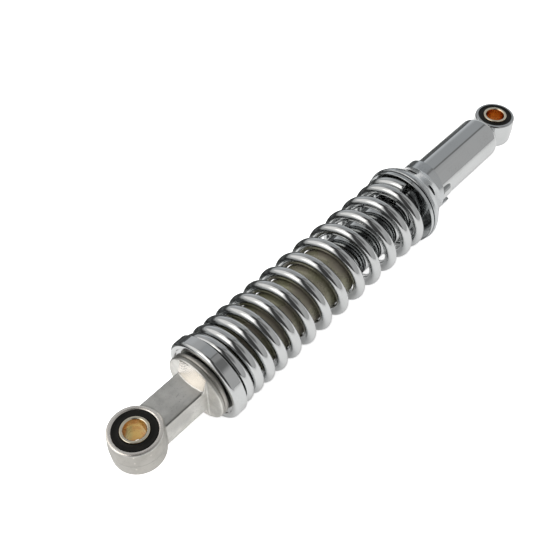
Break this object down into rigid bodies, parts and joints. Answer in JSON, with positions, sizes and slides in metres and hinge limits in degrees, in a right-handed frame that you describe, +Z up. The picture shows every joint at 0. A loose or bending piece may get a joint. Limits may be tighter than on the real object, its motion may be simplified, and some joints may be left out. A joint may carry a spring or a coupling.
{
  "type": "motorcycle rear shock absorber",
  "caption": "Coil-over twin-tube rear shock absorber with a cast head eye, a chromed coil spring, a cam preload collar and a chromed body with a bushed tail eye.",
  "frame": {"origin": "under the middle of the shock's box, on the surface that it lies on", "axes": "+X along the shock from the head eye to the tail eye, +Z up along the eye bores, +Y sideways"},
  "size_m": [0.3696, 0.0534, 0.0535],
  "materials": {
    "chrome": "polished chrome plating",
    "cast_aluminium": "satin sand-cast grey",
    "guide_coating": "grey-brown satin coating",
    "rubber": "matt black",
    "yellow_zinc": "yellow-passivated zinc plating",
    "steel": "ground steel",
    "bronze": "machined"
  },
  "bodies": {
    "damper_body": {"body_tube": "chrome", "tail_eye": "chrome", "tail_bush_rubber": "rubber", "cam_lug_a": "chrome", "cam_lug_b": "chrome", "gland_nut": "steel", "oil_seal": "rubber", "rod_guide": "bronze", "inner_cylinder": "steel", "base_valve": "bronze", "coil_spring": "chrome"},
    "ring": {"piston_ring": "bronze"},
    "head": {"head_casting": "cast_aluminium", "head_bush_rubber": "rubber", "spring_retainer": "chrome", "guide_tube": "guide_coating", "rod_locknut": "steel", "bump_stop": "rubber", "piston_rod": "steel", "rebound_buffer": "rubber", "piston": "steel", "piston_nut": "steel"},
    "seat": {"spring_seat": "chrome"},
    "collar": {"adjuster_collar": "chrome"},
    "head_sleeve": {"head_bush_sleeve": "yellow_zinc"},
    "tail_sleeve": {"tail_bush_sleeve": "yellow_zinc"}
  },
  "joints": [
    {"name": "damper_stroke", "type": "slide", "parent": "damper_body", "child": "ring", "axis": [1, 0, 0], "range_m": [0, 0.06], "stiffness_N_per_m": 20000, "springref_m": -0.01, "deforming": ["coil_spring"]},
    {"name": "rod_swivel", "type": "hinge", "parent": "ring", "child": "head", "pos_m": [-0.1693, 0, 0.02674], "axis": [1, 0, 0], "continuous": true},
    {"name": "seat_lift", "type": "slide", "parent": "damper_body", "child": "seat", "axis": [-1, 0, 0], "range_m": [0, 0.0063]},
    {"name": "collar_turn", "type": "hinge", "parent": "seat", "child": "collar", "pos_m": [0.071, 0, 0.02674], "axis": [1, 0, 0], "range_deg": [0, 120]},
    {"name": "head_bush_twist", "type": "hinge", "parent": "head", "child": "head_sleeve", "pos_m": [-0.1693, 0, 0.02674], "axis": [0, 0, 1], "range_deg": [-12, 12], "stiffness_Nm_per_rad": 5},
    {"name": "tail_bush_twist", "type": "hinge", "parent": "damper_body", "child": "tail_sleeve", "pos_m": [0.1707, 0, 0.02674], "axis": [0, 0, 1], "range_deg": [-12, 12], "stiffness_Nm_per_rad": 5}
  ],
  "couplings": [
    {"joint": "seat_lift", "follows": "collar_turn", "m_per_rad": 0.003}
  ]
}
